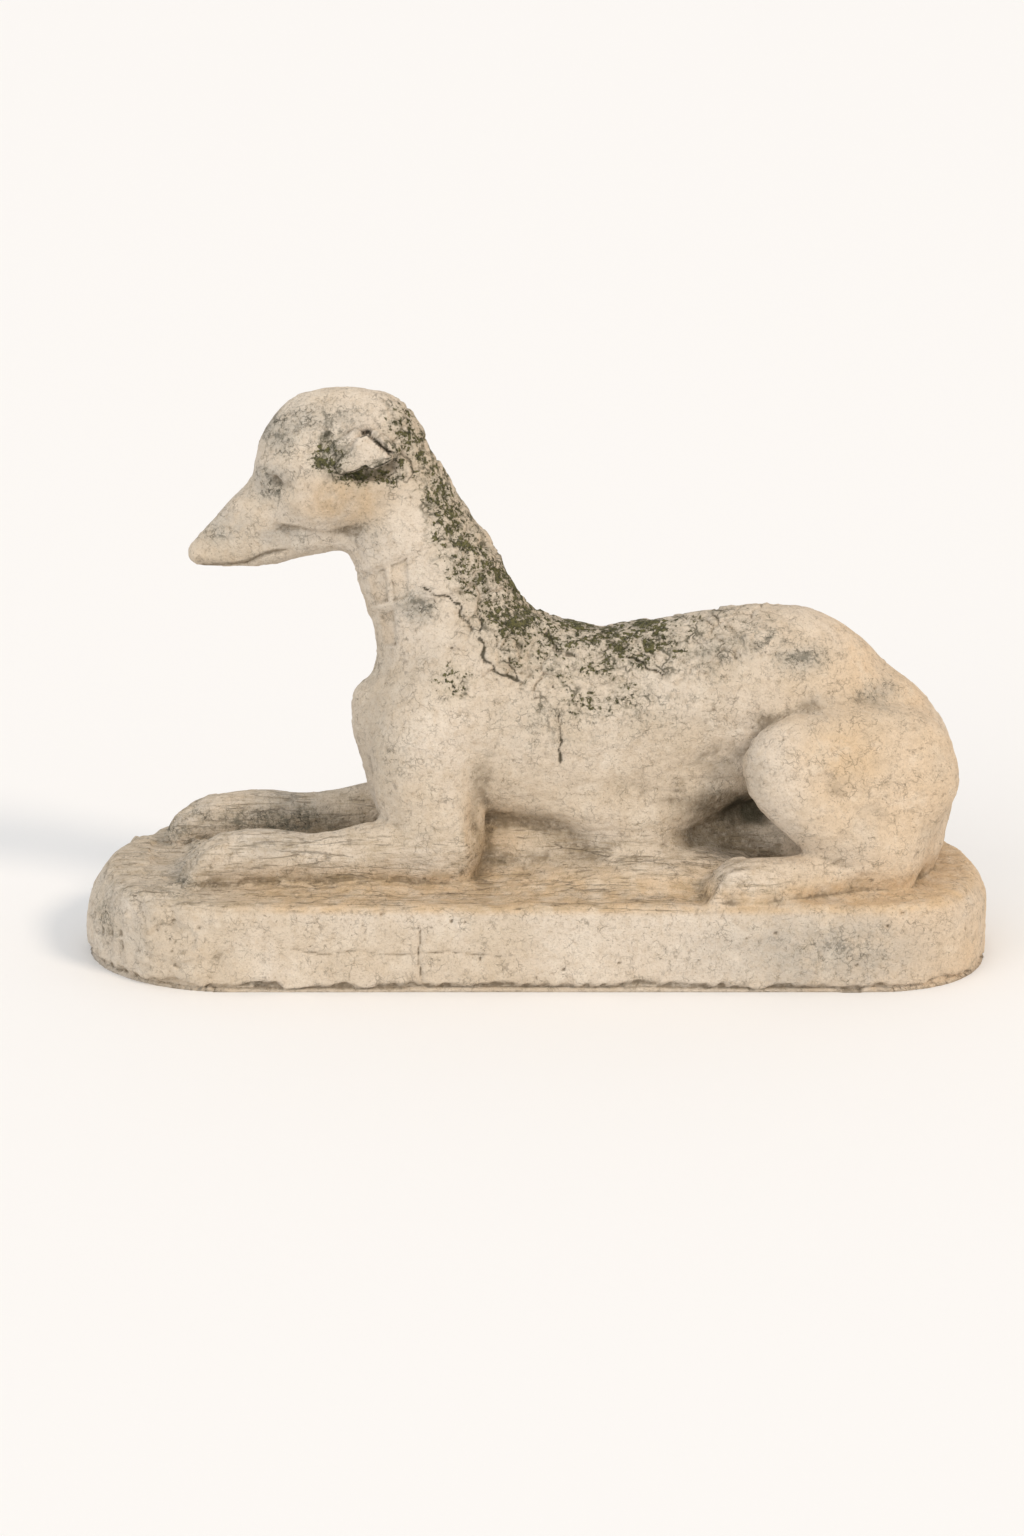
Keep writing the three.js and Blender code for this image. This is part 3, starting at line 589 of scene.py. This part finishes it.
def add_masks(mesh):
    """Where moss, dark lichen, grey stains, painted warm light, earthy stone and painted shade show, and
    where grime gathers.

    How far a corner lies below the same surface flattened a little tells narrow hollows, and
    flattened much, broad ones."""
    points, faces = arrays_of(mesh)
    normals = corner_normals(points, faces)
    narrow = ((smoothed(points, faces, 5) - points) * normals).sum(axis=1) / MM
    broad = ((smoothed(points, faces, 40) - points) * normals).sum(axis=1) / MM
    p = points / MM
    growth_masks(mesh, p, normals)
    stone_masks(mesh, p, normals)
    dirt_and_shade_masks(mesh, p, normals, narrow, broad)


# Limestone

def linear(hex_colour):
    """An sRGB hex colour as linear light with full alpha."""
    parts = [int(hex_colour[i:i + 2], 16) / 255.0 for i in (1, 3, 5)]
    return [c / 12.92 if c <= 0.04045 else ((c + 0.055) / 1.055) ** 2.4 for c in parts] + [1.0]


def add(tree, kind, inputs, output, **settings):
    """Adds a node with its settings, feeds it values or other outputs, and gives back one output."""
    node = tree.nodes.new(kind)
    for name, value in settings.items():
        setattr(node, name, value)
    for name, value in inputs.items():
        if isinstance(value, bpy.types.NodeSocket):
            tree.links.new(value, node.inputs[name])
        else:
            node.inputs[name].default_value = value
    return node.outputs[output]


def speckle(tree, place, size_mm, low, high, detail=4.0, roughness=0.6):
    """Cloudy patches of one size: 0 where the noise is below low, 1 where it is above high."""
    clouds = {"Vector": place, "Scale": 1.0 / (size_mm * MM), "Detail": detail, "Roughness": roughness}
    clouds = add(tree, "ShaderNodeTexNoise", clouds, "Fac")
    limits = {"Value": clouds, "From Min": low, "From Max": high}
    return add(tree, "ShaderNodeMapRange", limits, "Result", interpolation_type="SMOOTHSTEP")


def masked(tree, name, low, high):
    """One of the mesh's masks, from 0 at low to 1 at high."""
    limits = {"Value": add(tree, "ShaderNodeAttribute", {}, "Fac", attribute_name=name)}
    limits.update({"From Min": low, "From Max": high})
    return add(tree, "ShaderNodeMapRange", limits, "Result", interpolation_type="SMOOTHSTEP")


def hairline(tree, place, size_mm, width_mm, shift):
    """Thin wandering lines round cells of one size: 1 on the line, with gaps along it."""
    shifted = {0: place, 1: (shift, shift, shift)}
    moved = add(tree, "ShaderNodeVectorMath", shifted, "Vector", operation="ADD")
    drift = {"Vector": moved, "Scale": 1.0 / (size_mm * 0.8 * MM), "Detail": 4.0}
    wander = {0: add(tree, "ShaderNodeTexNoise", drift, "Color"), 1: (1.5 * size_mm * MM,) * 3, 2: moved}
    wander = add(tree, "ShaderNodeVectorMath", wander, "Vector", operation="MULTIPLY_ADD")
    cells = {"Vector": wander, "Scale": 1.0 / (size_mm * MM)}
    border = add(tree, "ShaderNodeTexVoronoi", cells, "Distance", feature="DISTANCE_TO_EDGE")
    limits = {"Value": border, "From Min": 0.0, "From Max": width_mm / size_mm}
    limits.update({"To Min": 1.0, "To Max": 0.0})
    line = add(tree, "ShaderNodeMapRange", limits, "Result", interpolation_type="SMOOTHSTEP")
    gaps = speckle(tree, moved, 1.4 * size_mm, 0.48, 0.62, 3.0)
    return add(tree, "ShaderNodeMath", {0: line, 1: gaps}, "Value", operation="MULTIPLY")


def product(tree, strength, shares):
    """A number times every share."""
    amount = strength
    for share in shares:
        amount = add(tree, "ShaderNodeMath", {0: share, 1: amount}, "Value", operation="MULTIPLY")
    return amount


def piled(tree, parts):
    """The sum of shares, each times its own number."""
    total = 0.0
    for share, times in parts:
        terms = {0: share, 1: times, 2: total}
        total = add(tree, "ShaderNodeMath", terms, "Value", operation="MULTIPLY_ADD")
    return total


def laid(tree, under_colour, hex_colour, strength, shares):
    """A colour laid over another, as strongly as its strength and its shares say."""
    layers = {0: product(tree, strength, shares), 6: under_colour, 7: linear(hex_colour)}
    return add(tree, "ShaderNodeMix", layers, 2, data_type="RGBA")


def growth(tree, place, sizes_mm, mask, pull, low, high):
    """Crumbly growth: fine, middling and broad clouds added up, thicker where its mask is strong."""
    clouds = []
    for size_mm, weight in zip(sizes_mm, (0.34, 0.42, 0.24)):
        cloud = {"Vector": place, "Scale": 1.0 / (size_mm * MM), "Detail": 6.0, "Roughness": 0.72}
        clouds.append((add(tree, "ShaderNodeTexNoise", cloud, "Fac"), weight))
    thick = piled(tree, clouds + [(mask, pull)])
    limits = {"Value": thick, "From Min": low, "From Max": high}
    return add(tree, "ShaderNodeMapRange", limits, "Result", interpolation_type="SMOOTHSTEP")


def stone_colour(tree, place):
    """Broad drifts of cream and buff, grey stains, painted warm light, earthy places, painted shade and a
    fine grain.
    """
    drifts = speckle(tree, place, 140.0, 0.35, 0.65)
    colour = laid(tree, linear("#D4C4AE"), "#E0D3C2", 1.0, [drifts])
    # Painted warm light on the rump and on what faces right
    clouds = speckle(tree, place, 60.0, 0.1, 0.7)
    colour = laid(tree, colour, "#E4C9A8", 0.9, [masked(tree, "warm", 0.0, 1.0), clouds])
    # Grey stains, and painted shade on what faces forward
    clouds = speckle(tree, place, 35.0, 0.15, 0.6)
    colour = laid(tree, colour, "#BBB4A9", 0.75, [masked(tree, "cool", 0.0, 0.9), clouds])
    # Earthy tint by the ground and on the panels, and painted shade on the cheek
    clouds = speckle(tree, place, 25.0, 0.1, 0.7)
    colour = laid(tree, colour, "#D8B990", 0.8, [masked(tree, "earth_and_cheek_shade", 0.0, 1.0), clouds])
    colour = laid(tree, colour, "#B9A488", 0.42, [speckle(tree, place, 9.0, 0.45, 0.7, 6.0, 0.75)])
    colour = laid(tree, colour, "#EDE3D3", 0.3, [speckle(tree, place, 30.0, 0.5, 0.7, 5.0)])
    colour = laid(tree, colour, "#5E5443", 0.4, [speckle(tree, place, 4.4, 0.66, 0.72, 3.0, 0.6)])
    return laid(tree, colour, "#A08F75", 0.55, [speckle(tree, place, 2.2, 0.52, 0.72, 3.0, 0.75)])


def dirtied_and_shaded(tree, place, colour, strokes, fine_strokes):
    """Brown grime with painted shade in hollows and recesses, and thin strokes where the crust has opened.
    """
    clouds = speckle(tree, place, 6.0, 0.1, 0.6)
    # Brown grime and painted shade
    colour = laid(tree, colour, "#6C5D47", 0.75, [masked(tree, "dirt_and_shade", 0.05, 1.0), clouds])
    colour = laid(tree, colour, "#655B48", 0.42, [strokes])
    return laid(tree, colour, "#655B48", 0.26, [fine_strokes])


def streaked(tree, drawn_out, colour, tooled, splits):
    """Long streaks and split lines, where the low stone was tooled along the block."""
    pale = speckle(tree, drawn_out, 6.0, 0.42, 0.66, 5.0, 0.7)
    colour = laid(tree, colour, "#94815F", 0.38, [tooled, pale])
    dark = speckle(tree, drawn_out, 5.0, 0.58, 0.66, 4.0, 0.6)
    colour = laid(tree, colour, "#5A4F3C", 0.48, [tooled, dark])
    return laid(tree, colour, "#4F4636", 0.5, [tooled, splits])


def lichened(tree, place, colour, lichen, crumbs, fine_strokes):
    """Dark lichen: a thin grey stain, and crumbs and strokes in it."""
    stain = speckle(tree, place, 16.0, 0.3, 0.65, 6.0, 0.7)
    colour = laid(tree, colour, "#A09A8B", 0.35, [lichen, stain])
    colour = laid(tree, colour, "#5B5B50", 0.7, [lichen, crumbs])
    colour = laid(tree, colour, "#47463A", 0.85, [lichen, hairline(tree, place, 11.0, 1.1, 7.7)])
    return laid(tree, colour, "#47463A", 0.6, [lichen, fine_strokes])


def moss_grown(tree, place, colour, moss, mossy, mossed, joints):
    """Moss: a thin film, dark joints between the plates of crust, and olive tufts."""
    film = growth(tree, place, MOSS_SIZES, moss, 0.09, 0.47, 0.6)
    colour = laid(tree, colour, "#938C6E", 0.25, [masked(tree, "moss", 0.04, 0.5), film])
    colour = laid(tree, colour, "#3E3E29", 0.8, [mossy, joints])
    lit_tips = speckle(tree, place, 4.0, 0.35, 0.65, 5.0, 0.75)
    tuft = laid(tree, linear("#26281A"), "#6B683F", 1.0, [lit_tips])
    cover = {0: product(tree, 0.95, [mossy, mossed]), 6: colour, 7: tuft}
    return add(tree, "ShaderNodeMix", cover, 2, data_type="RGBA")


def grain(tree, place):
    """Fine and coarse grain and pores, as heights in millimetres."""
    fine = {"Vector": place, "Scale": 1.0 / (2.0 * MM), "Detail": 4.0, "Roughness": 0.7}
    coarse = {"Vector": place, "Scale": 1.0 / (7.0 * MM), "Detail": 5.0, "Roughness": 0.68}
    cells = {"Vector": place, "Scale": 1.0 / (3.4 * MM)}
    return [(add(tree, "ShaderNodeTexNoise", fine, "Fac"), 1.6),
            (add(tree, "ShaderNodeTexNoise", coarse, "Fac"), 3.4),
            (add(tree, "ShaderNodeTexVoronoi", cells, "Distance"), 0.25)]


def limestone():
    """Weathered limestone: a matt cream stone, greyer and darker where rain and lichen have worked,
    with moss in the joints of its crust, brown grime and painted shade in hollows, painted shade on
    what faces forward, painted warm light on the right, and fine pores all over."""
    material = bpy.data.materials.new("weathered_limestone")
    material.use_nodes = True
    tree = material.node_tree
    tree.nodes.clear()
    place = add(tree, "ShaderNodeTexCoord", {}, "Object")
    shrink = {0: place, 1: (0.16, 1.0, 1.5)}
    drawn_out = add(tree, "ShaderNodeVectorMath", shrink, "Vector", operation="MULTIPLY")
    strokes = hairline(tree, place, 15.0, 0.7, 0.0)
    fine_strokes = hairline(tree, place, 7.0, 0.5, 3.1)
    splits = hairline(tree, drawn_out, 17.0, 1.1, 1.9)
    joints = hairline(tree, place, 22.0, 2.6, 5.3)
    tooled = masked(tree, "tooled", 0.0, 1.0)
    lichen = masked(tree, "lichen", 0.03, 0.9)
    crumbs = growth(tree, place, (3.2, 11.0, 36.0), lichen, 0.09, 0.565, 0.65)
    moss = masked(tree, "moss", 0.04, 1.0)
    mossy = masked(tree, "moss", 0.04, 0.35)
    mossed = growth(tree, place, MOSS_SIZES, moss, 0.1, 0.586, 0.616)

    colour = stone_colour(tree, place)
    colour = dirtied_and_shaded(tree, place, colour, strokes, fine_strokes)
    colour = streaked(tree, drawn_out, colour, tooled, splits)
    colour = lichened(tree, place, colour, lichen, crumbs, fine_strokes)
    colour = moss_grown(tree, place, colour, moss, mossy, mossed, joints)
    # Dark of open cracks, and painted shade at the ear and under the flank
    colour = laid(tree, colour, "#3C392A", 0.85, [masked(tree, "crack_and_shade", 0.25, 0.9)])

    heights = grain(tree, place) + [(strokes, -0.5), (fine_strokes, -0.4), (mossed, 0.8), (crumbs, 0.3)]
    heights += [(product(tree, 1.0, [tooled, splits]), -0.9), (product(tree, 1.0, [mossy, joints]), -1.0)]
    height = piled(tree, heights)
    bump = add(tree, "ShaderNodeBump", {"Height": height, "Strength": 1.0, "Distance": MM}, "Normal")
    surface = {"Base Color": colour, "Roughness": 0.93, "IOR": 1.5, "Specular IOR Level": 0.25}
    surface["Normal"] = bump
    shader = add(tree, "ShaderNodeBsdfPrincipled", surface, "BSDF")
    output = tree.nodes.new("ShaderNodeOutputMaterial")
    tree.links.new(shader, output.inputs["Surface"])
    return material


def statue():
    mesh = weathered_copy(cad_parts["greyhound_on_plinth"])
    add_masks(mesh)
    mesh.materials.clear()
    mesh.materials.append(limestone())
    mesh.polygons.foreach_set("use_smooth", np.ones(len(mesh.polygons), bool))
    piece = bpy.data.objects.new("weathered_greyhound", mesh)
    bpy.context.scene.collection.objects.link(piece)
    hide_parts("greyhound_on_plinth")
    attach(piece, "root")


# Floor, light and camera

def plain(name, colour, roughness):
    material = bpy.data.materials.new(name)
    material.use_nodes = True
    shader = material.node_tree.nodes["Principled BSDF"]
    shader.inputs["Base Color"].default_value = linear(colour)
    shader.inputs["Roughness"].default_value = roughness
    return material


def studio_floor():
    """A level square, wide enough to fill the picture."""
    half = 70.0
    corners = [(-half, -half, 0.0), (half, -half, 0.0), (half, half, 0.0), (-half, half, 0.0)]
    floor = bpy.data.objects.new("studio_floor", mesh_of("studio_floor", corners, [(0, 1, 2, 3)]))
    floor.data.materials.append(plain("pale_floor", "#F2F2F2", 0.9))
    bpy.context.scene.collection.objects.link(floor)


def sky_lamp(name, azimuth, height, softness, strength, colour):
    """A distant lamp: azimuth in degrees to the right of the camera, height above the floor."""
    lamp = bpy.data.lights.new(name, "SUN")
    lamp.angle = math.radians(softness)
    lamp.energy = strength
    lamp.color = linear(colour)[:3]
    holder = bpy.data.objects.new(name, lamp)
    holder.rotation_euler = (math.radians(90.0 - height), 0.0, math.radians(azimuth))
    bpy.context.scene.collection.objects.link(holder)


def studio_light():
    """Even light from all round, a soft lamp high on the right, and a broad one low on the left."""
    world = bpy.data.worlds.new("studio")
    world.use_nodes = True
    background = world.node_tree.nodes["Background"]
    background.inputs["Color"].default_value = linear("#F6F6F6")
    background.inputs["Strength"].default_value = 0.8
    bpy.context.scene.world = world
    bpy.context.scene.view_settings.view_transform = "Standard"
    sky_lamp("key", 48.0, 38.0, 14.0, 1.35, "#FFEDD8")
    sky_lamp("fill", -35.0, 18.0, 50.0, 1.2, "#F5F4F4")


def photographer():
    """A camera looking down on the statue's middle from a tripod."""
    distance, aim_x, aim_z = 3.5, -0.027, 0.204
    camera = bpy.data.cameras.new("camera")
    camera.lens = 74.07
    camera.sensor_width = 36.0
    camera.clip_end = 200.0
    holder = bpy.data.objects.new("camera", camera)
    tilt = math.radians(15.0)
    holder.location = (aim_x, -distance * math.cos(tilt), aim_z + distance * math.sin(tilt))
    holder.rotation_euler = (math.pi / 2 - tilt, 0.0, 0.0)
    bpy.context.scene.collection.objects.link(holder)
    bpy.context.scene.camera = holder


statue()
studio_floor()
studio_light()
photographer()
